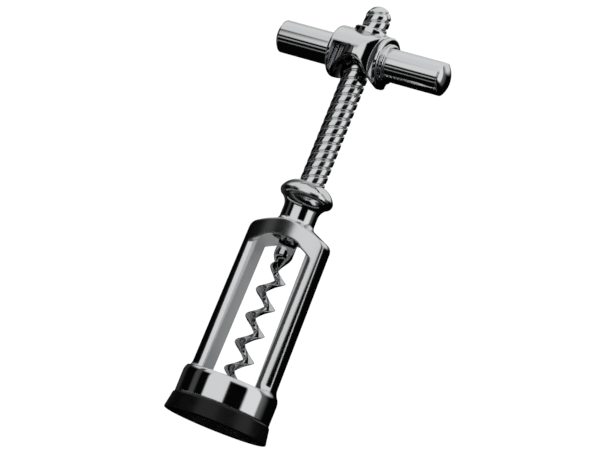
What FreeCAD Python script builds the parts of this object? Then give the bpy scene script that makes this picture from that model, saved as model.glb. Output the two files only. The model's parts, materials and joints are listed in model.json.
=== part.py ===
import FreeCAD, Part
import math
import os
import re

import Sketcher
from FreeCAD import Placement, Rotation, Vector

# Bell-frame corkscrew. Millimetres, +Z up along the spindle. The origin is the centre of the base
# ring's bottom face. The two windows of the cage face -Y (front) and +Y (back).

doc = FreeCAD.newDocument("bell_corkscrew")

# ---------------------------------------------------------------- driving dimensions

SIZES = {
    # base ring: a plastic sleeve that seats on the bottle's lip
    "ring_foot_radius": 18.0,
    "ring_top_radius": 17.15,
    "ring_height": 6.2,
    "ring_mouth_radius": 14.9,
    "ring_edge_round": 0.8,
    "ring_foot_break": 0.4,
    "ring_foot_round": 0.5,
    # cast frame: spigot, collar, open cage, shoulder, neck and flange
    "spigot_radius": 15.6,
    "spigot_bottom": 3.5,
    "cork_bore_radius": 11.1,
    "cork_bore_top_radius": 9.8,
    "cork_bore_top": 66.7,
    "ceiling_round": 4.0,
    "collar_radius": 16.65,
    "collar_top": 13.4,
    "collar_lip_round": 4.7,
    "collar_lip_radius": 16.05,
    "collar_lip": 15.7,
    "cage_foot_round": 8.3,
    "cage_foot_radius": 15.45,
    "cage_foot": 18.8,
    "cage_top_radius": 14.65,
    "cage_top": 66.6,
    "shoulder_round": 3.2,
    "shoulder_radius": 13.0,
    "shoulder_height": 69.3,
    "neck_foot_radius": 7.2,
    "neck_foot": 72.0,
    "neck_round": 1.9,
    "neck_radius": 6.1,
    "neck_start": 73.8,
    "neck_end": 77.0,
    "flare_round": 4.5,
    "flare_radius": 8.5,
    "flare_height": 81.0,
    "flange_round": 2.2,
    "flange_radius": 9.25,
    "flange_height": 83.0,
    "flange_dome": 6.5,
    "neck_top_radius": 5.1,
    "neck_top": 86.9,
    "neck_hole_radius": 4.75,
    "bush_seat_top": 85.5,
    "bush_seat_radius": 5.05,
    "retainer_seat_top": 72.3,
    "retainer_radius": 5.95,
    "retainer_hole_radius": 4.8,
    "retainer_bottom": 70.9,
    "face_radius": 30.0,
    "face_half_depth": 6.8,
    "face_reach": 18.0,
    "face_reach_depth": 0.8,
    "face_top": 75.0,
    "face_foot_round": 2.5,
    "leg_side_reach": 20.0,
    "leg_side_depth": 7.08,
    "window_reach": 16.0,
    "window_side_top": 57.25,
    "window_arch_radius": 19.0,
    # plastic bush that lines the neck
    "bush_radius": 5.0,
    "bush_hole_radius": 4.5,
    "bush_bottom": 72.4,
    "bush_top": 85.4,
    # three-start spindle
    "spindle_phase": 18.0,
    "crest_radius": 4.4,
    "root_radius": 3.8,
    "thread_lead": 9.0,
    "thread_starts": 3,
    "crest_half_angle": 36.0,
    "root_half_angle": 9.0,
    "thread_guide_radius": 12.0,
    "spindle_bottom": 67.5,
    "spindle_top": 152.5,
    "socket_radius": 2.2,
    "socket_top": 81.0,
    # worm
    "worm_pitch": 9.43,
    "worm_radius": 4.35,
    "worm_inner_radius": 1.95,
    "worm_root_half_height": 1.3,
    "worm_root_inset": 0.35,
    "worm_core_crown": 0.2,
    "worm_edge_half_width": 0.06,
    "worm_tip_share": 0.12,
    "worm_guide_radius": 3.0,
    "worm_tip": 0.8,
    "worm_tip_turns": 0.45,
    "worm_helix_top": 57.6,
    "shank_radius": 3.25,
    "shank_bottom": 60.0,
    "shank_cone_radius": 1.5,
    "shank_cone_bottom": 55.2,
    "tang_top": 80.0,
    "pin_radius": 0.75,
    "pin_length": 7.2,
    "pin_height": 74.0,
    # T-handle
    "handle_height": 133.9,
    "handle_turn": 0.0,
    "hub_radius": 9.0,
    "hub_half_length": 9.8,
    "hub_edge_round": 0.7,
    "end_disc_start": 8.4,
    "waist_radius": 9.1,
    "waist_ledge": 1.0,
    "recess_radius": 8.4,
    "recess_top": -0.4,
    "scoop_radius": 6.5,
    "scoop_height": -7.0,
    "scoop_turn": 60.7,
    "chamber_radius": 7.4,
    "chamber_top": 1.5,
    "insert_radius": 6.6,
    "insert_top": 7.3,
    "hub_hole_radius": 4.75,
    "boss_radius": 6.2,
    "boss_height": 9.35,
    "boss_dish_radius": 5.7,
    "boss_dish_depth": 0.95,
    "boss_dish_overcut": 0.05,
    "hub_overcut": 4.0,
    "thread_clearance": 0.15,
    "circlip_bottom": -0.3,
    "circlip_top": 0.5,
    "circlip_hole_radius": 5.4,
    "washer_bottom": 0.6,
    "washer_top": 1.4,
    "washer_radius": 7.2,
    "grub_radius": 1.25,
    "grub_height": 4.4,
    "grub_start": 5.6,
    "arm_radius": 5.65,
    "arm_bore_radius": 4.6,
    "arm_end": 30.7,
    "collar_ring_radius": 6.9,
    "collar_ring_end": 11.0,
    "collar_ring_round": 0.9,
    "collar_ring_step": 0.35,
    "collar_ring_bevel": 0.7,
    "arm_spigot_end": 17.0,
    "cap_dome_radius": 8.9,
    "cap_dome_height": 2.0,
    "cap_spigot_length": 6.0,
    "arm_pin_radius": 0.9,
    "arm_pin_place": 14.2,
    "arm_pin_depth": 1.5,
    "arm_pin_sunk": 0.15,
}

sheet = doc.addObject("Spreadsheet::Sheet", "Sizes")
for row, (alias, number) in enumerate(SIZES.items(), start=1):
    sheet.set(f"A{row}", alias.replace("_", " "))
    sheet.set(f"B{row}", str(number))
    sheet.setAlias(f"B{row}", alias)
doc.recompute()


# ---------------------------------------------------------------- helpers

def value(formula):
    """Number that a sum of sheet aliases and numbers stands for, such as 'bush_top - 0.4'."""
    total = 0.0
    for sign, term in re.findall(r"([+-]?)\s*([\w.]+)", str(formula)):
        number = SIZES[term] if term in SIZES else float(term)
        total += -number if sign == "-" else number
    return total


def expression(formula):
    """The same sum as an expression on the sheet's cells."""
    return re.sub(r"[A-Za-z_]\w*", lambda found: "Sizes." + found.group(), str(formula))


def bind(thing, **formulas):
    """Bind properties to the sheet. A double underscore stands for a dot in the property's path."""
    for path, formula in formulas.items():
        thing.setExpression(path.replace("__", "."), expression(formula))
    return thing


def pin_vertex(sketch, edge, end, across, along):
    """Fix one end of a sketch edge at coordinates given by two sheet sums."""
    for kind, axis, formula in (("DistanceX", -2, across), ("DistanceY", -1, along)):
        if value(formula) == 0:
            sketch.addConstraint(Sketcher.Constraint("PointOnObject", edge, end, axis))
        else:
            rule = sketch.addConstraint(Sketcher.Constraint(kind, edge, end, value(formula)))
            sketch.setExpression(f"Constraints[{rule}]", expression(formula))


def arc_middle(start, end, radius, side):
    """Middle point of the minor arc from start to end that bulges to the left (1) or right (-1)."""
    chord = end - start
    across = Vector(-chord.y, chord.x, 0).normalize() * side
    rise = radius - math.sqrt(radius ** 2 - (chord.Length / 2) ** 2)
    return (start + end) * 0.5 + across * rise


def draw_outline(sketch, points):
    """Draw a closed outline. A point is (across, along), or (across, along, arc radius, side) where
    the edge that leaves it is an arc."""
    corners = [Vector(value(point[0]), value(point[1]), 0) for point in points]
    for number, point in enumerate(points):
        start, end = corners[number], corners[(number + 1) % len(points)]
        if len(point) == 2:
            sketch.addGeometry(Part.LineSegment(start, end))
        else:
            middle = arc_middle(start, end, value(point[2]), point[3])
            ends = (start, end) if point[3] < 0 else (end, start)
            sketch.addGeometry(Part.Arc(ends[0], middle, ends[1]))
    for number, point in enumerate(points):
        edge = sketch.Geometry[number]
        first = 1 if edge.StartPoint.isEqual(corners[number], 1e-6) else 2
        before = sketch.Geometry[number - 1]
        last = 2 if before.EndPoint.isEqual(corners[number], 1e-6) else 1
        previous = (number - 1) % len(points)
        sketch.addConstraint(Sketcher.Constraint("Coincident", previous, last, number, first))
        pin_vertex(sketch, number, first, point[0], point[1])
        if len(point) > 2:
            rule = sketch.addConstraint(Sketcher.Constraint("Radius", number, value(point[2])))
            sketch.setExpression(f"Constraints[{rule}]", expression(point[2]))


def new_sketch(body, plane, points):
    """Sketch of a closed outline on one of the body's origin planes."""
    sketch = body.newObject("Sketcher::SketchObject", body.Name + "_outline")
    face = next(item for item in body.Origin.OriginFeatures if item.Role == plane)
    sketch.AttachmentSupport = (face, "")
    sketch.MapMode = "FlatFace"
    draw_outline(sketch, points)
    return sketch


def turned(label, points, axis="V_Axis"):
    """Body turned from a half section: about Z (V_Axis), or about X (H_Axis) for the arms."""
    body = doc.addObject("PartDesign::Body", label)
    sketch = new_sketch(body, "XZ_Plane", points)
    turn = body.newObject("PartDesign::Revolution", label + "_turn")
    turn.Profile = sketch
    turn.ReferenceAxis = (sketch, [axis])
    turn.Angle = 360
    sketch.Visibility = False
    return body


def padded(label, plane, points, length, middle=False):
    """Body padded from an outline, from its plane or about it."""
    body = doc.addObject("PartDesign::Body", label)
    sketch = new_sketch(body, plane, points)
    pad = body.newObject("PartDesign::Pad", label + "_pad")
    pad.Profile = sketch
    pad.Midplane = middle
    pad.setExpression("Length", expression(length))
    return body


def cylinder(label, radius, height, bottom="0", axis=(0, 0, 1), turn=0):
    """Cylinder about Z from its bottom up, or about a level axis and centred on it."""
    tube = doc.addObject("Part::Cylinder", label)
    bind(tube, Radius=radius, Height=height)
    if axis == (0, 0, 1):
        bind(tube, Placement__Base__z=bottom)
    else:
        level = Rotation(Vector(0, 0, 1), turn).multiply(Rotation(Vector(0, 0, 1), Vector(1, 0, 0)))
        start = level.multVec(Vector(0, 0, -value(height) / 2))
        tube.Placement = Placement(start, level)
        bind(tube, Placement__Base__z=bottom)
    return tube


def box(label, low, high):
    """Box between two corners given as sheet sums."""
    block = doc.addObject("Part::Box", label)
    names = ("Length", "Width", "Height")
    for name, path, start, end in zip(names, "xyz", low, high):
        block.setExpression(name, f"({expression(end)}) - ({expression(start)})")
        block.setExpression(f"Placement.Base.{path}", expression(start))
    return block


def cut(label, base, *tools):
    """Base with the tools taken away."""
    result = base
    for number, tool in enumerate(tools, start=1):
        step = doc.addObject("Part::Cut", label if tool is tools[-1] else f"{label}_cut_{number}")
        step.Base, step.Tool = result, tool
        result = step
    return result


def fuse(label, *shapes):
    """Several shapes joined."""
    union = doc.addObject("Part::MultiFuse", label)
    union.Shapes = list(shapes)
    union.Refine = True
    return union


def common(label, first, second):
    """What two shapes share."""
    overlap = doc.addObject("Part::Common", label)
    overlap.Base, overlap.Tool = first, second
    return overlap


def half_turn_copy(source, label):
    """The same tool turned half a turn about Z."""
    copy = doc.addObject("App::Link", label)
    copy.LinkedObject = source
    copy.LinkTransform = True
    copy.LinkPlacement = Placement(Vector(), Rotation(Vector(0, 0, 1), 180))
    return copy


def rounded(label, base, radius, chosen):
    """Base with every edge that chosen(edge) accepts rounded."""
    doc.recompute()
    edges = [number for number, edge in enumerate(base.Shape.Edges, start=1) if chosen(edge)]
    fillet = doc.addObject("Part::Fillet", label)
    fillet.Base = base
    fillet.Edges = [(number, value(radius), value(radius)) for number in edges]
    return fillet


def solid_feature(label, shape):
    """Feature that holds one solid."""
    feature = doc.addObject("Part::Feature", label)
    feature.Shape = shape
    return feature


nodes = []


def finish(label, thing, placement=None):
    """Name the sub-part's last object after its node and put it in place."""
    if placement is not None:
        thing.Placement = placement
    thing.Label = label
    nodes.append(thing)


# ---------------------------------------------------------------- frame

def make_base_ring():
    """Black sleeve: the lip of the bottle enters its mouth, and the frame's spigot sits on its step."""
    ring = turned("base_ring_body", [
        ("ring_mouth_radius + ring_foot_break", "0"),
        ("ring_foot_radius - ring_foot_break", "0", "ring_foot_round", -1),
        ("ring_foot_radius", "ring_foot_break"),
        ("ring_top_radius", "ring_height - ring_edge_round", "ring_edge_round + 0.05", -1),
        ("ring_top_radius - ring_edge_round", "ring_height"),
        ("spigot_radius", "ring_height"),
        ("spigot_radius", "spigot_bottom"),
        ("ring_mouth_radius", "spigot_bottom"),
        ("ring_mouth_radius", "ring_foot_round"),
    ])
    finish("base_ring", ring)


def on_face(edge):
    """True for an edge that lies on the front or back face's large cylinder, above the ledge."""
    if edge.BoundBox.ZMin < value("collar_lip") - 0.01:
        return False
    ends = [vertex.Point for vertex in edge.Vertexes]
    middle = edge.valueAt((edge.FirstParameter + edge.LastParameter) / 2)
    centre = value("face_radius") - value("face_half_depth")
    return all(abs(math.hypot(spot.x, abs(spot.y) + centre) - value("face_radius")) < 0.002
               for spot in ends + [middle])


def on_face_foot(edge):
    """True for the two edges where the faces meet the ledge above the collar."""
    return on_face(edge) and edge.BoundBox.ZMax < value("collar_lip") + 0.01


def make_bell_frame():
    """Cast frame: collar, two legs with bowed front and back faces, shoulder, neck and flange."""
    casting = turned("frame_turned", [
        ("cork_bore_radius", "spigot_bottom"),
        ("spigot_radius", "spigot_bottom"),
        ("spigot_radius", "ring_height"),
        ("collar_radius", "ring_height"),
        ("collar_radius", "collar_top", "collar_lip_round", -1),
        ("collar_lip_radius", "collar_lip", "cage_foot_round", 1),
        ("cage_foot_radius", "cage_foot"),
        ("cage_top_radius", "cage_top", "shoulder_round", -1),
        ("shoulder_radius", "shoulder_height"),
        ("neck_foot_radius", "neck_foot", "neck_round", 1),
        ("neck_radius", "neck_start"),
        ("neck_radius", "neck_end", "flare_round", 1),
        ("flare_radius", "flare_height", "flange_round", -1),
        ("flange_radius", "flange_height", "flange_dome", -1),
        ("neck_top_radius", "neck_top"),
        ("neck_hole_radius", "neck_top"),
        ("neck_hole_radius", "bush_seat_top"),
        ("bush_seat_radius", "bush_seat_top"),
        ("bush_seat_radius", "retainer_seat_top"),
        ("retainer_radius", "retainer_seat_top"),
        ("retainer_radius", "cork_bore_top"),
        ("cork_bore_top_radius - ceiling_round", "cork_bore_top", "ceiling_round", 1),
        ("cork_bore_top_radius", "cork_bore_top - ceiling_round"),
    ])
    bow = padded("face_bow", "XY_Plane", [
        ("0 - face_reach", "0 - face_reach"),
        ("face_reach", "0 - face_reach"),
        ("face_reach", "0 - face_reach_depth", "face_radius", 1),
        ("0 - face_reach", "0 - face_reach_depth"),
    ], "face_top")
    above = box("face_band", ("0 - leg_side_reach", "0 - leg_side_reach", "collar_lip"),
                ("leg_side_reach", "0", "face_top"))
    face = common("front_face_cut", bow, above)
    faced = cut("frame_faced", casting, face, half_turn_copy(face, "back_face_cut"))
    footed = rounded("frame_footed", faced, "face_foot_round", on_face_foot)
    wedge = padded("window_wedge", "XY_Plane", [
        ("0", "0"),
        ("0 - leg_side_reach", "0 - leg_side_depth"),
        ("0 - leg_side_reach", "0 - leg_side_reach"),
        ("leg_side_reach", "0 - leg_side_reach"),
        ("leg_side_reach", "0 - leg_side_depth"),
    ], "cork_bore_top")
    arch = padded("window_arch", "XZ_Plane", [
        ("0 - window_reach", "collar_lip"),
        ("window_reach", "collar_lip"),
        ("window_reach", "window_side_top", "window_arch_radius", -1),
        ("0 - window_reach", "window_side_top"),
    ], "leg_side_reach + leg_side_reach", middle=True)
    window = common("front_window_cut", wedge, arch)
    opened = cut("bell_frame_body", footed, window, half_turn_copy(window, "back_window_cut"))
    finish("bell_frame", opened)


def make_neck_fittings():
    """Plastic bush that guides the spindle, and the ring pressed in under it."""
    finish("neck_bush", turned("neck_bush_body", [
        ("bush_hole_radius", "bush_bottom"),
        ("bush_radius", "bush_bottom"),
        ("bush_radius", "bush_top"),
        ("bush_hole_radius", "bush_top"),
    ]))
    finish("bush_retaining_ring", turned("retainer_body", [
        ("retainer_hole_radius", "retainer_bottom"),
        ("retainer_radius", "retainer_bottom"),
        ("retainer_radius", "retainer_seat_top"),
        ("retainer_hole_radius", "retainer_seat_top"),
    ]))


# ---------------------------------------------------------------- spindle and worm

def polar(radius, degrees, height=0.0):
    """Point at a radius and an angle about Z."""
    angle = math.radians(degrees)
    return Vector(radius * math.cos(angle), radius * math.sin(angle), height)


def thread_section(bottom, clearance=0.0):
    """Cross-section of the three-start thread: round crests and roots joined by straight flanks."""
    crest_radius = value("crest_radius") + clearance
    root_radius = value("root_radius") + clearance
    widening = math.degrees(clearance / value("root_radius"))
    crest = value("crest_half_angle") + widening
    root = value("root_half_angle") - widening
    starts = int(value("thread_starts"))
    spacing = 360.0 / starts
    turned_back = bottom / value("thread_lead") * 360.0 + value("spindle_phase")
    edges = []
    for start in range(starts):
        middle = start * spacing + turned_back
        valley = middle + spacing / 2
        marks = [polar(crest_radius, middle + crest * part, bottom) for part in (-1, 0, 1)]
        lows = [polar(root_radius, valley + root * part, bottom) for part in (-1, 0, 1)]
        following = polar(crest_radius, middle + spacing - crest, bottom)
        edges.append(Part.Arc(*marks).toShape())
        edges.append(Part.makeLine(marks[2], lows[0]))
        edges.append(Part.Arc(*lows).toShape())
        edges.append(Part.makeLine(lows[2], following))
    return Part.Wire(edges)


def thread_bar(bottom, top, clearance=0.0):
    """Twisted bar between two heights. The turn at any height depends on that height alone, so the
    spindle and its nut are in mesh."""
    spine = Part.Wire([Part.makeLine(Vector(0, 0, bottom), Vector(0, 0, top))])
    guide = Part.makeHelix(value("thread_lead"), top - bottom, value("thread_guide_radius"))
    guide.translate(Vector(0, 0, bottom))
    sweep = Part.BRepOffsetAPI.MakePipeShell(spine)
    sweep.setAuxiliarySpine(Part.Wire(guide.Edges), True, 0)
    sweep.add(thread_section(bottom, clearance))
    sweep.build()
    sweep.makeSolid()
    return sweep.shape()


def make_spindle():
    """Threaded spindle with a round head at the top and a socket for the worm's tang below."""
    bottom, top = value("spindle_bottom"), value("spindle_top")
    crest = value("crest_radius")
    shoulder = top - crest
    bar = thread_bar(bottom, shoulder)
    head = Part.makeSphere(crest, Vector(0, 0, shoulder), Vector(0, 0, 1), 0, 90, 360)
    socket = Part.makeCylinder(value("socket_radius"), value("socket_top") - bottom, Vector(0, 0, bottom))
    hole = Part.makeCylinder(value("pin_radius"), value("pin_length"),
                             Vector(-value("pin_length") / 2, 0, value("pin_height")), Vector(1, 0, 0))
    shape = bar.cut(socket).cut(hole).fuse(head)
    finish("spindle", solid_feature("spindle_body", shape))


def worm_section(height, grown=1.0):
    """Worm's section in the XZ plane: a sharp outer edge and a round inner side."""
    outer, inner = value("worm_radius"), value("worm_inner_radius")
    middle = (outer + inner) / 2
    half = value("worm_root_half_height")
    root = inner + value("worm_root_inset")
    crown = inner - value("worm_core_crown")
    edge = value("worm_edge_half_width")

    def place(radius, offset):
        return Vector(middle + (radius - middle) * grown, 0, height + offset * grown)

    low, high = place(root, -half), place(root, half)
    tip_low, tip_high = place(outer, -edge), place(outer, edge)
    return Part.Wire([
        Part.makeLine(tip_high, high),
        Part.Arc(high, place(crown, 0), low).toShape(),
        Part.makeLine(low, tip_low),
        Part.makeLine(tip_low, tip_high),
    ])


def make_worm():
    """Right-hand helix with an open centre, pointed below, growing out of a round shank above."""
    pitch = value("worm_pitch")
    start = value("worm_tip") + pitch * value("worm_tip_turns")
    helix = Part.makeHelix(pitch, value("worm_helix_top") - start, value("worm_guide_radius"))
    coil = Part.Wire(helix.Edges).makePipeShell([worm_section(0)], True, True)
    coil.translate(Vector(0, 0, start))

    tip_turn = 360.0 * value("worm_tip_turns")
    tip_helix = Part.makeHelix(pitch, start - value("worm_tip"), value("worm_guide_radius"))
    point = worm_section(0, value("worm_tip_share"))
    root = worm_section(start - value("worm_tip"))
    root.rotate(Vector(), Vector(0, 0, 1), tip_turn)
    tip = Part.Wire(tip_helix.Edges).makePipeShell([point, root], True, True)
    tip.rotate(Vector(), Vector(0, 0, 1), -tip_turn)
    tip.translate(Vector(0, 0, value("worm_tip")))
    for piece in (coil, tip):
        piece.rotate(Vector(), Vector(0, 0, 1), value("spindle_phase"))

    cone_bottom, shank_bottom = value("shank_cone_bottom"), value("shank_bottom")
    cone = Part.makeCone(value("shank_cone_radius"), value("shank_radius"), shank_bottom - cone_bottom,
                         Vector(0, 0, cone_bottom))
    spindle_bottom = value("spindle_bottom")
    shank = Part.makeCylinder(value("shank_radius"), spindle_bottom - shank_bottom,
                              Vector(0, 0, shank_bottom))
    tang = Part.makeCylinder(value("socket_radius"), value("tang_top") - spindle_bottom,
                             Vector(0, 0, spindle_bottom))
    hole = Part.makeCylinder(value("pin_radius"), value("pin_length"),
                             Vector(-value("pin_length") / 2, 0, value("pin_height")), Vector(1, 0, 0))
    shape = coil.fuse([tip, cone, shank, tang]).cut(hole)
    finish("worm", solid_feature("worm_body", shape.removeSplitter()))
    pin = cylinder("worm_pin_body", "pin_radius", "pin_length", "pin_height", (1, 0, 0))
    finish("worm_pin", pin)


# ---------------------------------------------------------------- T-handle

def handle_place(turned_by=0.0, height="handle_height"):
    """Place in the handle's own axes: X along the arms, origin where they cross the spindle."""
    spin = Rotation(Vector(0, 0, 1), value("handle_turn") + turned_by)
    return Placement(Vector(0, 0, value(height)), spin)


def on_hub_rim(edge):
    """True for the two end circles of the hub's barrel."""
    return edge.Curve.TypeId == "Part::GeomCircle" and len(edge.Vertexes) == 1


def make_handle_hub():
    """Barrel across the spindle with a waist, a dished underside and a spigot for each arm."""
    barrel = cylinder("hub_barrel", "hub_radius", "hub_half_length + hub_half_length", "0", (1, 0, 0))
    barrel = rounded("hub_barrel_round", barrel, "hub_edge_round", on_hub_rim)
    boss = cylinder("hub_boss", "boss_radius", "boss_height")
    spigots = cylinder("hub_spigots", "arm_bore_radius", "arm_spigot_end + arm_spigot_end", "0", (1, 0, 0))
    solid = fuse("hub_solid", barrel, boss, spigots)

    far, near = "hub_radius + hub_overcut", "0 - hub_radius - hub_overcut"
    waist = cylinder("hub_waist", "waist_radius", "(hub_radius + hub_overcut) * 2", near)
    right_block = box("hub_right_block", ("0", near, near), ("end_disc_start", "0", far))
    left_block = box("hub_left_block", ("0 - end_disc_start", near, near), ("0", "0", "waist_ledge"))
    flank = cut("hub_flank", fuse("hub_flank_blocks", right_block, left_block), waist)
    recess = cylinder("hub_recess", "recess_radius", "hub_radius + hub_overcut + recess_top", near)
    scoop = cylinder("hub_scoop", "scoop_radius", "hub_radius * 4", "scoop_height",
                     (1, 0, 0), value("scoop_turn"))
    chamber = cylinder("hub_chamber", "chamber_radius", "chamber_top - recess_top", "recess_top")
    seat = cylinder("hub_insert_seat", "insert_radius", "insert_top - chamber_top", "chamber_top")
    hole = cylinder("hub_hole", "hub_hole_radius", "hub_radius", "insert_top")
    dish = doc.addObject("Part::Cone", "hub_dish")
    bind(dish, Radius1="hub_hole_radius", Radius2="boss_dish_radius", Height="boss_dish_depth",
         Placement__Base__z="boss_height + boss_dish_overcut - boss_dish_depth")
    grub_bore = cylinder("hub_grub_bore", "grub_radius", "hub_radius + hub_radius", "grub_height",
                         (1, 0, 0), 90)
    half = box("hub_back_half", ("0 - hub_radius", "grub_start", "0"), ("hub_radius", far, far))
    grub_bore = common("hub_grub_hole", grub_bore, half)
    pins = [arm_pin_hole(f"{side}_spigot_pin_hole", reach, 1) for side, reach in (("right", 1), ("left", -1))]
    hub = cut("hub_body", solid, flank, half_turn_copy(flank, "hub_back_flank"), recess, scoop, chamber,
              seat, hole, dish, grub_bore, *pins)
    finish("handle_hub", hub, handle_place())


def arm_pin_hole(label, reach, out):
    """Hole for the pin that locks an arm on its spigot. Reach is its side of the spindle and out is
    the way that the drill comes from, each 1 or -1."""
    hole = doc.addObject("Part::Cylinder", label)
    bind(hole, Radius="arm_pin_radius", Height="arm_radius")
    spot = Vector(value("arm_pin_place") * reach, value("arm_pin_depth") * out, 0)
    hole.Placement = Placement(spot, Rotation(Vector(0, 0, 1), Vector(0, out, 0)))
    return hole


def make_insert():
    """Nut of the spindle, its grub screw, and the circlip and washer that hold it in the hub."""
    base, top = value("handle_height"), value("insert_top")
    bottom = value("chamber_top")
    height = top - bottom
    blank = Part.makeCylinder(value("insert_radius"), height, Vector(0, 0, base + bottom))
    thread = thread_bar(base + bottom - 1, base + top + 1, value("thread_clearance"))
    dimple = Part.makeCylinder(value("grub_radius"), value("insert_radius"),
                               Vector(0, value("grub_start"), base + value("grub_height")), Vector(0, 1, 0))
    dimple.rotate(Vector(), Vector(0, 0, 1), value("handle_turn"))
    finish("thread_insert", solid_feature("insert_body", blank.cut(thread).cut(dimple)))

    grub = turned("grub_body", [
        ("grub_start", "0"),
        ("hub_radius - 1.3", "0"),
        ("hub_radius - 1.3", "grub_radius"),
        ("grub_start", "grub_radius"),
    ], "H_Axis")
    finish("insert_grub_screw", grub, handle_place(90, "handle_height + grub_height"))

    clip = turned("circlip_body", [
        ("circlip_hole_radius", "circlip_bottom"),
        ("chamber_radius", "circlip_bottom"),
        ("chamber_radius", "circlip_top"),
        ("circlip_hole_radius", "circlip_top"),
    ])
    finish("insert_circlip", clip, handle_place())
    washer = turned("washer_body", [
        ("hub_hole_radius", "washer_bottom"),
        ("washer_radius", "washer_bottom"),
        ("washer_radius", "washer_top"),
        ("hub_hole_radius", "washer_top"),
    ])
    finish("hub_washer", washer, handle_place())


def make_arms():
    """Right and left arm: a tube on the hub's spigot, a collar at its root, a domed cap and a pin."""
    for side, turned_by, out in (("right", 0, 1), ("left", 180, -1)):
        tube = turned(f"{side}_tube", [
            ("collar_ring_end", "arm_bore_radius"),
            ("arm_end", "arm_bore_radius"),
            ("arm_end", "arm_radius"),
            ("collar_ring_end", "arm_radius"),
        ], "H_Axis")
        arm = cut(f"{side}_arm_body", tube, arm_pin_hole(f"{side}_tube_pin_hole", 1, out))
        finish(f"{side}_arm", arm, handle_place(turned_by))

        collar = turned(f"{side}_collar_body", [
            ("hub_half_length", "arm_bore_radius"),
            ("collar_ring_end", "arm_bore_radius"),
            ("collar_ring_end", "arm_radius + collar_ring_step", "collar_ring_round", -1),
            ("collar_ring_end - collar_ring_bevel", "collar_ring_radius"),
            ("hub_half_length", "collar_ring_radius"),
        ], "H_Axis")
        finish(f"{side}_arm_collar", collar, handle_place(turned_by))

        cap = turned(f"{side}_cap_body", [
            ("arm_end - cap_spigot_length", "0"),
            ("arm_end + cap_dome_height", "0", "cap_dome_radius", -1),
            ("arm_end", "arm_radius"),
            ("arm_end", "arm_bore_radius"),
            ("arm_end - cap_spigot_length", "arm_bore_radius"),
        ], "H_Axis")
        finish(f"{side}_arm_cap", cap, handle_place(turned_by))

        pin = turned(f"{side}_pin_body", [
            ("arm_pin_depth", "0"),
            ("arm_radius - arm_pin_sunk", "0"),
            ("arm_radius - arm_pin_sunk", "arm_pin_radius"),
            ("arm_pin_depth", "arm_pin_radius"),
        ], "H_Axis")
        reach = value("arm_pin_place") * out
        spot = handle_place().multiply(Placement(Vector(reach, 0, 0), Rotation(Vector(0, 0, 1), 90)))
        finish(f"{side}_arm_pin", pin, spot)


# ---------------------------------------------------------------- build and write

make_base_ring()
make_bell_frame()
make_neck_fittings()
make_spindle()
make_worm()
make_handle_hub()
make_insert()
make_arms()
doc.recompute()

for thing in doc.Objects:
    if "Invalid" in thing.State or "Error" in thing.State:
        raise RuntimeError(f"{thing.Label} failed: {thing.State}")

os.makedirs("parts", exist_ok=True)
for node in nodes:
    shape = node.Shape
    if shape.isNull() or not shape.isValid() or not shape.Solids:
        raise RuntimeError(f"{node.Label} has no valid solid")
    shape.exportStep(os.path.join("parts", node.Label + ".step"))
    size = shape.BoundBox
    print(f"{node.Label:22s} {len(shape.Solids)} solid  {shape.Volume:9.1f} mm3  "
          f"z {size.ZMin:7.2f} to {size.ZMax:7.2f}")
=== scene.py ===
import json
import math

import bpy
from mathutils import Matrix, Vector


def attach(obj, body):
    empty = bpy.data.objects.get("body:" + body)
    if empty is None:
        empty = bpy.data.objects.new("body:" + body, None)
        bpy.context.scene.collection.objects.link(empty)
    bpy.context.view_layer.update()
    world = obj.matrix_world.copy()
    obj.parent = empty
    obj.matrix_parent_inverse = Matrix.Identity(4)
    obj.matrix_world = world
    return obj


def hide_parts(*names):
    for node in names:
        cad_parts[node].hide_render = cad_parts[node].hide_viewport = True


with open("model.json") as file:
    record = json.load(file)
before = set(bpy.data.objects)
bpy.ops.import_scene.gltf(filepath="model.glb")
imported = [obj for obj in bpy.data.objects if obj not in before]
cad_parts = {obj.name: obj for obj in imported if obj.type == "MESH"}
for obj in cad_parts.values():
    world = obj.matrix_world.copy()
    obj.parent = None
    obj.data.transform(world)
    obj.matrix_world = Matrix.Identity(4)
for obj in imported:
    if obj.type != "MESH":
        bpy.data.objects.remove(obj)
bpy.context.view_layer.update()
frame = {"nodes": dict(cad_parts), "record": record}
nodes = frame["nodes"]
MM = 0.001

# ---------------------------------------------------------------- camera

CAMERA_TURN = math.radians(27.0)
CAMERA_RISE = math.radians(-9.5)
CAMERA_ROLL = math.radians(21.9)
CAMERA_DISTANCE = 0.9
LENS = 162.0
SENSOR = 36.0
LOOK_AT = Vector((0.0, 0.0, 0.076))
# The picture is centred this far beside and above that point.
AIM_RIGHT, AIM_UP = 0.167 * MM, -3.333 * MM


def make_camera():
    """Long lens from slightly below, rolled so that the corkscrew leans to the right."""
    level = math.cos(CAMERA_RISE)
    away = Vector((math.sin(CAMERA_TURN) * level, -math.cos(CAMERA_TURN) * level, math.sin(CAMERA_RISE)))
    right = (-away).cross(Vector((0, 0, 1))).normalized()
    up = right.cross(-away)
    c, s = math.cos(CAMERA_ROLL), math.sin(CAMERA_ROLL)
    picture_right, picture_up = right * c + up * s, up * c - right * s
    aim = LOOK_AT + picture_right * AIM_RIGHT + picture_up * AIM_UP
    place = LOOK_AT + away * CAMERA_DISTANCE
    back = (place - aim).normalized()
    across = picture_up.cross(back).normalized()
    upright = back.cross(across)
    data = bpy.data.cameras.new("camera")
    data.lens, data.sensor_width = LENS, SENSOR
    data.clip_start, data.clip_end = 0.05, 20
    camera = bpy.data.objects.new("camera", data)
    bpy.context.scene.collection.objects.link(camera)
    axes = Matrix((across, upright, back)).transposed().to_4x4()
    camera.matrix_world = Matrix.Translation(place) @ axes
    bpy.context.scene.camera = camera


# ---------------------------------------------------------------- studio

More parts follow.
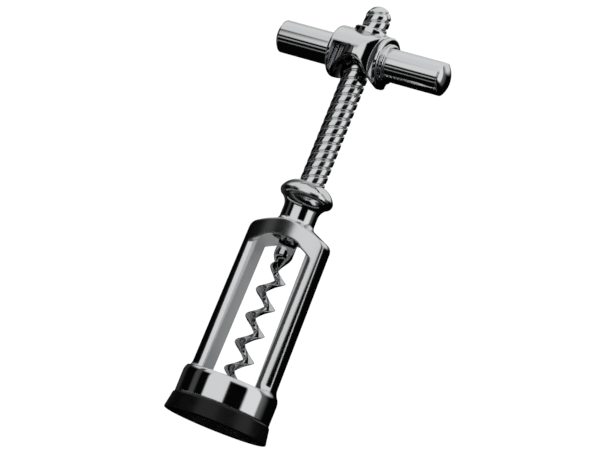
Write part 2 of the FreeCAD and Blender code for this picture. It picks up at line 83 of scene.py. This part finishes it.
# Panels round the object: middle azimuth (0 is -Y, positive towards +X), half width, soft edge,
# lowest and highest elevation, elevation edge, brightness. Later panels cover earlier ones.
PANELS = [
    (0, 180, 1, 27, 90, 12, 0.85),
    (-123, 14, 20, -20, 50, 8, 0.035),
    (107, 16, 30, -10, 60, 8, 0.17),
    (-3.5, 25.5, 5, -8, 62, 6, 0.92),
    (87, 20, 7, -8, 62, 6, 1.0),
    (-61, 8, 8, -20, 40, 6, 0.075),
    (0, 180, 1, 58, 90, 10, 0.9),
    (-42, 60, 6, -26, -20, 2, 0.5),
    (-42, 80, 6, -46, -42, 2, 0.3),
    (78, 60, 6, -42, -37, 2, 0.3),
]
ROOM = 0.002
BACKGROUND = 1.3
FLOOR_REACH, FLOOR_HEIGHT = 3.0, -0.25
FLOOR_COLOUR = (0.86, 0.86, 0.86, 1)


def math_node(tree, operation, first, second=None, third=None):
    """Math node with numbers or sockets as its inputs."""
    node = tree.nodes.new("ShaderNodeMath")
    node.operation = operation
    for place, item in enumerate((first, second, third)):
        if item is None:
            continue
        if isinstance(item, (int, float)):
            node.inputs[place].default_value = item
        else:
            tree.links.new(item, node.inputs[place])
    return node.outputs[0]


def smooth_range(tree, socket, low, high, to_low=0.0, to_high=1.0):
    """Smoothstep of a socket between two values."""
    node = tree.nodes.new("ShaderNodeMapRange")
    node.interpolation_type = "SMOOTHSTEP"
    tree.links.new(socket, node.inputs["Value"])
    for name, number in (("From Min", low), ("From Max", high), ("To Min", to_low), ("To Max", to_high)):
        node.inputs[name].default_value = number
    return node.outputs["Result"]


def make_studio():
    """White room for the camera, with softboxes and black flags for what the chrome reflects."""
    world = bpy.data.worlds.new("studio")
    bpy.context.scene.world = world
    world.use_nodes = True
    tree = world.node_tree
    tree.nodes.clear()
    place = tree.nodes.new("ShaderNodeTexCoord")
    parts = tree.nodes.new("ShaderNodeSeparateXYZ")
    tree.links.new(place.outputs["Generated"], parts.inputs[0])
    x, y, z = parts.outputs
    forward = math_node(tree, "MULTIPLY", y, -1.0)
    azimuth = math_node(tree, "DEGREES", math_node(tree, "ARCTAN2", x, forward))
    elevation = math_node(tree, "DEGREES", math_node(tree, "ARCSINE", z))
    light = ROOM
    for middle, half, edge, low, high, rise, brightness in PANELS:
        offset = math_node(tree, "ABSOLUTE", math_node(tree, "SUBTRACT", azimuth, float(middle)))
        wrapped = math_node(tree, "MINIMUM", offset, math_node(tree, "SUBTRACT", 360.0, offset))
        across = smooth_range(tree, wrapped, half - edge / 2, half + edge / 2, 1.0, 0.0)
        above = smooth_range(tree, elevation, low - rise / 2, low + rise / 2)
        below = smooth_range(tree, elevation, high - rise / 2, high + rise / 2, 1.0, 0.0)
        share = math_node(tree, "MULTIPLY", math_node(tree, "MULTIPLY", above, below), across)
        kept = math_node(tree, "MULTIPLY", math_node(tree, "SUBTRACT", 1.0, share), light)
        light = math_node(tree, "MULTIPLY_ADD", share, float(brightness), kept)
    rays = tree.nodes.new("ShaderNodeLightPath")
    seen = rays.outputs["Is Camera Ray"]
    hidden = math_node(tree, "MULTIPLY", math_node(tree, "SUBTRACT", 1.0, seen), light)
    strength = math_node(tree, "MULTIPLY_ADD", seen, BACKGROUND, hidden)
    background = tree.nodes.new("ShaderNodeBackground")
    tree.links.new(strength, background.inputs["Strength"])
    output = tree.nodes.new("ShaderNodeOutputWorld")
    tree.links.new(background.outputs[0], output.inputs["Surface"])


def make_floor():
    """Pale floor, below the camera because the object is seen from slightly below."""
    mesh = bpy.data.meshes.new("floor")
    sides = ((-1, -1), (1, -1), (1, 1), (-1, 1))
    corners = [(x * FLOOR_REACH, y * FLOOR_REACH, FLOOR_HEIGHT) for x, y in sides]
    mesh.from_pydata(corners, [], [(0, 1, 2, 3)])
    floor = bpy.data.objects.new("floor", mesh)
    bpy.context.scene.collection.objects.link(floor)
    material = bpy.data.materials.new("floor")
    material.use_nodes = True
    shader = material.node_tree.nodes["Principled BSDF"]
    shader.inputs["Base Color"].default_value = FLOOR_COLOUR
    shader.inputs["Roughness"].default_value = 0.6
    mesh.materials.append(material)
    floor.visible_glossy = False


# ---------------------------------------------------------------- materials

PLATE = (0.83, 0.84, 0.85)
# Dark base colour painted as shade into the hub's hollow and onto its cut-back flanks.
HOLLOW_PAINTED_SHADE = (0.10, 0.10, 0.105)
SOCKET_FACTOR, SOCKET_A, SOCKET_B, SOCKET_RESULT = 0, 6, 7, 2

# The cage: radius and half depth of its two bowed faces, their foot, and the bore's radius and top.
FACE_RADIUS = 30.0 * MM
FACE_HALF_DEPTH = 6.8 * MM
FACE_FOOT = 16.5 * MM
BORE_RADIUS = 11.3 * MM
BORE_TOP = 66.8 * MM
# How far the faces' normals lean sideways, how much duller the faces and the bore are, and how much
# of its metal look the bore loses, which lets its pale base colour show as painted light.
FACE_TURN = 0.11
FACE_DULLNESS = 0.13
BORE_DULLNESS = 0.32
BORE_PAINTED_PALENESS = 0.95
# Painted shade in the hub's hollow: its top, its radius, and its radius where the hub's flanks are cut
# back.
HUB_HOLLOW_TOP = 134.8 * MM
HUB_HOLLOW_RADIUS = 8.5 * MM
HUB_FLANK_RADIUS = 9.15 * MM
# Radius to which sharp edges are rounded in the shading.
CAGE_ROUNDING = 1.1 * MM
HANDLE_ROUNDING = 0.7 * MM
# Widths over which one finish fades into the next.
SHORT_FADE = 0.1 * MM
FADE = 0.2 * MM
FACE_FADE = 0.25 * MM
FOOT_FADE = 0.7 * MM


def new_material(name, colour, roughness, metallic=0.0):
    """Principled material and the parts of it that its maker links to."""
    material = bpy.data.materials.new(name)
    material.use_nodes = True
    tree = material.node_tree
    shader = tree.nodes["Principled BSDF"]
    shader.inputs["Base Color"].default_value = (*colour, 1)
    shader.inputs["Metallic"].default_value = metallic
    shader.inputs["Roughness"].default_value = roughness
    return material, tree, shader


def object_place(tree):
    """Coordinates in object space and the distance from the spindle's axis."""
    place = tree.nodes.new("ShaderNodeTexCoord")
    spot = tree.nodes.new("ShaderNodeSeparateXYZ")
    tree.links.new(place.outputs["Object"], spot.inputs[0])
    x, y, z = spot.outputs
    squared = math_node(tree, "MULTIPLY", x, x)
    radius = math_node(tree, "SQRT", math_node(tree, "MULTIPLY_ADD", y, y, squared))
    return x, y, z, radius


def under(tree, socket, limit, fade):
    """One where a socket is under a limit, and nothing above it."""
    return smooth_range(tree, socket, limit - fade, limit, 1.0, 0.0)


def noise_socket(tree, scale, detail=3.0):
    """Noise in object space."""
    place = tree.nodes.new("ShaderNodeTexCoord")
    texture = tree.nodes.new("ShaderNodeTexNoise")
    texture.inputs["Scale"].default_value = scale
    texture.inputs["Detail"].default_value = detail
    tree.links.new(place.outputs["Object"], texture.inputs["Vector"])
    return texture.outputs["Fac"]


def add_bump(tree, shader, height, strength, distance):
    """Bump the shader by a height socket."""
    bump = tree.nodes.new("ShaderNodeBump")
    bump.inputs["Strength"].default_value = strength
    bump.inputs["Distance"].default_value = distance
    tree.links.new(height, bump.inputs["Height"])
    tree.links.new(bump.outputs["Normal"], shader.inputs["Normal"])


def chrome(name, roughness=0.05, spread=0.03, ripple=0.00001, colour=PLATE):
    """Polished plate: faint orange peel and slightly uneven polish."""
    material, tree, shader = new_material(name, colour, roughness, 1.0)
    uneven = smooth_range(tree, noise_socket(tree, 90.0), 0.35, 0.7, roughness, roughness + spread)
    tree.links.new(uneven, shader.inputs["Roughness"])
    add_bump(tree, shader, noise_socket(tree, 220.0, 2.0), 0.25, ripple)
    return material


def add_rounding(tree, shader, radius):
    """Round the sharp edges of a cast piece in its shading."""
    rounding = tree.nodes.new("ShaderNodeBevel")
    rounding.samples = 12
    rounding.inputs["Radius"].default_value = radius
    bump = shader.inputs["Normal"].links[0].from_node
    tree.links.new(rounding.outputs["Normal"], bump.inputs["Normal"])


def cast_chrome(name, rounding, roughness=0.05):
    """Polished plate on a casting whose edges are rounded over."""
    material = chrome(name, roughness)
    tree = material.node_tree
    add_rounding(tree, tree.nodes["Principled BSDF"], rounding)
    return material


def frame_chrome():
    """The cage's plate: polished outside, brushed on the two bowed faces, and nearly non-metal in the
    bore, where its pale base colour is painted light."""
    material = cast_chrome("frame_chrome", CAGE_ROUNDING)
    tree = material.node_tree
    shader = tree.nodes["Principled BSDF"]
    x, y, z, radius = object_place(tree)
    depth = math_node(tree, "ABSOLUTE", y)
    bow = math_node(tree, "MULTIPLY_ADD", math_node(tree, "MULTIPLY", x, x), 0.5 / FACE_RADIUS, depth)
    on_face = smooth_range(tree, bow, FACE_HALF_DEPTH - FACE_FADE, FACE_HALF_DEPTH - SHORT_FADE)
    above = smooth_range(tree, z, FACE_FOOT, FACE_FOOT + FOOT_FADE)
    face = math_node(tree, "MULTIPLY", on_face, above)
    within = under(tree, radius, BORE_RADIUS, FADE)
    bore = math_node(tree, "MULTIPLY", within, under(tree, z, BORE_TOP, FADE))
    inside = math_node(tree, "MULTIPLY", bore, math_node(tree, "SUBTRACT", 1.0, on_face))
    # Painted light: the bore loses most of its metal look, so its pale base colour shows as brightness.
    metal = math_node(tree, "MULTIPLY_ADD", inside, -BORE_PAINTED_PALENESS, 1.0)
    tree.links.new(metal, shader.inputs["Metallic"])
    polish = shader.inputs["Roughness"].links[0].from_socket
    brushed = math_node(tree, "MULTIPLY_ADD", face, FACE_DULLNESS, polish)
    rough = math_node(tree, "MULTIPLY_ADD", inside, BORE_DULLNESS, brushed)
    tree.links.new(rough, shader.inputs["Roughness"])
    turn_faces(tree, shader, face, y)
    return material


def turn_faces(tree, shader, face, y):
    """Lean the normals of both faces sideways, which moves the softboxes' edges across them. Only the
    shading leans, and the mesh stays as it is."""
    side = math_node(tree, "SIGN", y)
    lean = math_node(tree, "MULTIPLY", math_node(tree, "MULTIPLY", side, face), FACE_TURN)
    shift = tree.nodes.new("ShaderNodeCombineXYZ")
    tree.links.new(lean, shift.inputs[0])
    total = tree.nodes.new("ShaderNodeVectorMath")
    total.operation = "ADD"
    tree.links.new(shader.inputs["Normal"].links[0].from_socket, total.inputs[0])
    tree.links.new(shift.outputs[0], total.inputs[1])
    unit = tree.nodes.new("ShaderNodeVectorMath")
    unit.operation = "NORMALIZE"
    tree.links.new(total.outputs[0], unit.inputs[0])
    tree.links.new(unit.outputs[0], shader.inputs["Normal"])


def handle_chrome():
    """The handle's plate: polished outside, with a dark base colour painted as shade in the hub's hollow
    and on its cut-back flanks.
    """
    material = cast_chrome("handle_chrome", HANDLE_ROUNDING, 0.035)
    tree = material.node_tree
    shader = tree.nodes["Principled BSDF"]
    x, y, z, radius = object_place(tree)
    flank = math_node(tree, "GREATER_THAN", math_node(tree, "MULTIPLY", x, y), 0.0)
    widening = math_node(tree, "MULTIPLY", flank, HUB_HOLLOW_RADIUS - HUB_FLANK_RADIUS)
    reach = math_node(tree, "ADD", radius, widening)
    near = under(tree, reach, HUB_HOLLOW_RADIUS, SHORT_FADE)
    hollow = math_node(tree, "MULTIPLY", near, under(tree, z, HUB_HOLLOW_TOP, SHORT_FADE))
    # Painted shade: the hollow and the cut-back flanks take the dark colour instead of the plate.
    mix = tree.nodes.new("ShaderNodeMix")
    mix.data_type = "RGBA"
    mix.inputs[SOCKET_A].default_value = (*PLATE, 1)
    mix.inputs[SOCKET_B].default_value = (*HOLLOW_PAINTED_SHADE, 1)
    tree.links.new(hollow, mix.inputs[SOCKET_FACTOR])
    tree.links.new(mix.outputs[SOCKET_RESULT], shader.inputs["Base Color"])
    return material


def black_plastic():
    """Moulded black ring with a fine satin grain."""
    material, tree, shader = new_material("ring_plastic", (0.004, 0.004, 0.0045), 0.3)
    shader.inputs["Specular IOR Level"].default_value = 0.3
    rough = smooth_range(tree, noise_socket(tree, 350.0), 0.3, 0.7, 0.2, 0.3)
    tree.links.new(rough, shader.inputs["Roughness"])
    add_bump(tree, shader, noise_socket(tree, 2600.0, 2.0), 0.35, 0.00003)
    return material


def plain(name, colour, roughness, metallic=0.0):
    """Material of a hidden fitting."""
    material, tree, shader = new_material(name, colour, roughness, metallic)
    rough = smooth_range(tree, noise_socket(tree, 400.0), 0.3, 0.7, roughness * 0.85, roughness * 1.2)
    tree.links.new(rough, shader.inputs["Roughness"])
    add_bump(tree, shader, noise_socket(tree, 1500.0, 2.0), 0.2, 0.00002)
    return material


MATERIALS = {
    "chrome_frame": frame_chrome(),
    "chrome_handle": handle_chrome(),
    "chrome_spindle": chrome("spindle_chrome", 0.13, 0.05, 0.00001),
    "worm_steel": chrome("worm_chrome", 0.05, 0.02, 0.000002, (0.62, 0.63, 0.64)),
    "ring_plastic": black_plastic(),
    "bush_plastic": plain("bush_plastic", (0.80, 0.79, 0.75), 0.4),
    "insert_steel": plain("insert_steel", (0.62, 0.62, 0.63), 0.25, 1.0),
    "fitting_steel": plain("fitting_steel", (0.56, 0.56, 0.57), 0.3, 1.0),
}


def dress_cad_nodes():
    """Give every CAD node the material of its slot."""
    for part in frame["record"]["subparts"]:
        thing = nodes[part["node"]]
        thing.data.materials.clear()
        thing.data.materials.append(MATERIALS[part["material_slot"]])


# ---------------------------------------------------------------- spindle and worm

# Millimetres and degrees. The crest and root edges are angles from the middle of a crest.
SPINDLE_PHASE = 18.0
CREST_RADIUS, ROOT_RADIUS = 4.4, 3.75
CREST_CROWN = 0.08
CREST_EDGE, ROOT_EDGE = 41.0, 56.0
THREAD_LEAD, THREAD_STARTS = 9.0, 3
START_SPACING = 360.0 / THREAD_STARTS
SPINDLE_BOTTOM, SPINDLE_TOP = 67.5, 152.5
SPINDLE_STEP = 0.3
COLUMNS_PER_START = 40
HEAD_STEPS, HEAD_STEP = 22, 4

WORM_PITCH = 9.43
WORM_RADIUS, WORM_CORE = 4.35, 0.75
WORM_HALF_HEIGHT, WORM_EDGE = 2.0, 0.05
WORM_TIP, WORM_TOP = 0.8, 60.0
WORM_TIP_TURNS = 0.45
WORM_STEPS_PER_TURN = 72
# The point grows over its turns from this share, and its core starts this much further out.
POINT_SHARE, POINT_START, POINT_TURNS, POINT_OFFSET = 0.06, -0.2, 0.9, 1.6
# Above this height the helix loses this share of its radius on its way into the shank.
DRAW_IN_START, DRAW_IN = 52.5, 0.55
SECTION_STEPS, SECTION_CROWDING = 14, 1.2
SECTION_CORE_SHARE, SECTION_HOLLOW = 0.2, 0.85
SHANK_RADIUS, SHANK_BOTTOM, SHANK_POINT = 3.25, 61.5, 55.0
SHANK_POINT_RADIUS = 0.4
SHANK_COLUMNS, SHANK_STEPS = 48, 27


def eased(value, low, high):
    """Smoothstep of a number between two values."""
    part = min(max((value - low) / (high - low), 0.0), 1.0)
    return part * part * (3 - 2 * part)


def polar(radius, degrees, height):
    """Point in metres at a radius and height in millimetres."""
    angle = math.radians(degrees)
    return (radius * math.cos(angle) * MM, radius * math.sin(angle) * MM, height * MM)


def skin(points, faces, rings):
    """Add a closed skin over rings of points that all have the same count."""
    first = len(points)
    count = len(rings[0])
    for ring in rings:
        points.extend(ring)
    for level in range(len(rings) - 1):
        low, high = first + level * count, first + (level + 1) * count
        for place in range(count):
            after = (place + 1) % count
            faces.append((low + place, low + after, high + after, high + place))
    last = first + (len(rings) - 1) * count
    faces.append(tuple(first + place for place in reversed(range(count))))
    faces.append(tuple(last + place for place in range(count)))


def visual_piece(name, points, faces, body, node, material_slot):
    """Smooth mesh that takes the place of a CAD node."""
    mesh = bpy.data.meshes.new(name)
    mesh.from_pydata(points, [], faces)
    mesh.polygons.foreach_set("use_smooth", [len(face) == 4 for face in faces])
    mesh.materials.append(MATERIALS[material_slot])
    piece = bpy.data.objects.new(name, mesh)
    bpy.context.scene.collection.objects.link(piece)
    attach(piece, body)
    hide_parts(node)


def thread_radius(offset):
    """Radius of the thread at an angle from a crest's middle: a crowned crest and a round groove."""
    groove = eased(abs(offset), CREST_EDGE, ROOT_EDGE)
    crown = CREST_CROWN * (offset / CREST_EDGE) ** 2 * (1 - groove)
    return CREST_RADIUS - crown - (CREST_RADIUS - ROOT_RADIUS) * groove


def make_spindle():
    """Three-start spindle with crowned crests and grooves that run out in its round head."""
    columns = COLUMNS_PER_START * THREAD_STARTS
    shoulder = SPINDLE_TOP - CREST_RADIUS
    straight = shoulder - SPINDLE_BOTTOM
    steps = int(straight / SPINDLE_STEP)
    levels = [(SPINDLE_BOTTOM + straight * step / steps, 1.0) for step in range(steps + 1)]
    for step in range(1, HEAD_STEPS + 1):
        rise = math.radians(step * HEAD_STEP)
        levels.append((shoulder + CREST_RADIUS * math.sin(rise), math.cos(rise)))
    rings = []
    for height, share in levels:
        ring = []
        for column in range(columns):
            turn = column * 360.0 / columns
            offset = (turn + START_SPACING / 2) % START_SPACING - START_SPACING / 2
            depth = CREST_RADIUS - thread_radius(offset)
            radius = (CREST_RADIUS - depth * share) * share
            ring.append(polar(radius, turn + SPINDLE_PHASE + height / THREAD_LEAD * 360.0, height))
        rings.append(ring)
    points, faces = [], []
    skin(points, faces, rings)
    visual_piece("spindle_look", points, faces, "spindle", "spindle", "chrome_spindle")


def worm_section():
    """Half-heights over the worm's section, from the core out to the sharp edge and back."""
    outline = []
    out, back = range(SECTION_STEPS + 1), range(SECTION_STEPS - 1, 0, -1)
    for side, order in ((1, out), (-1, back)):
        for step in order:
            share = (step / SECTION_STEPS) ** SECTION_CROWDING
            core = math.sin(math.radians(90 * min(1.0, share / SECTION_CORE_SHARE)))
            half = WORM_HALF_HEIGHT * core * (1 - share) ** SECTION_HOLLOW
            outline.append((share, side * max(half, WORM_EDGE)))
    return outline


def worm_ring(turn, outline):
    """The worm's section at a number of turns above its tip."""
    height = WORM_TIP + WORM_PITCH * turn
    grown = POINT_SHARE + (1 - POINT_SHARE) * eased(turn, POINT_START, POINT_TURNS)
    drawn_in = 1.0 - DRAW_IN * eased(height, DRAW_IN_START, WORM_TOP)
    degrees = (turn - WORM_TIP_TURNS) * 360.0 + SPINDLE_PHASE
    ring = []
    for share, half in outline:
        reach = (WORM_RADIUS - WORM_CORE) * share * grown
        radius = (WORM_CORE + (1 - grown) * POINT_OFFSET + reach) * drawn_in
        ring.append(polar(radius, degrees, height + half * grown))
    return ring


def shank_ring(height, radius):
    """Circle of the worm's shank."""
    return [polar(radius, column * 360.0 / SHANK_COLUMNS, height) for column in range(SHANK_COLUMNS)]


def make_worm():
    """Open helix with a sharp edge, pointed below and growing out of a round shank above."""
    outline = worm_section()
    steps = int((WORM_TOP - WORM_TIP) / WORM_PITCH * WORM_STEPS_PER_TURN)
    points, faces = [], []
    skin(points, faces, [worm_ring(step / WORM_STEPS_PER_TURN, outline) for step in range(steps + 1)])
    shank = []
    for step in range(SHANK_STEPS + 1):
        height = SHANK_POINT + (SHANK_BOTTOM - SHANK_POINT) * step / SHANK_STEPS
        swelling = (SHANK_RADIUS - SHANK_POINT_RADIUS) * eased(height, SHANK_POINT, SHANK_BOTTOM)
        shank.append(shank_ring(height, SHANK_POINT_RADIUS + swelling))
    shank.append(shank_ring(SPINDLE_BOTTOM, SHANK_RADIUS))
    skin(points, faces, shank)
    visual_piece("worm_look", points, faces, "spindle", "worm", "worm_steel")


bpy.context.scene.view_settings.view_transform = "Standard"
make_camera()
make_studio()
make_floor()
dress_cad_nodes()
make_spindle()
make_worm()
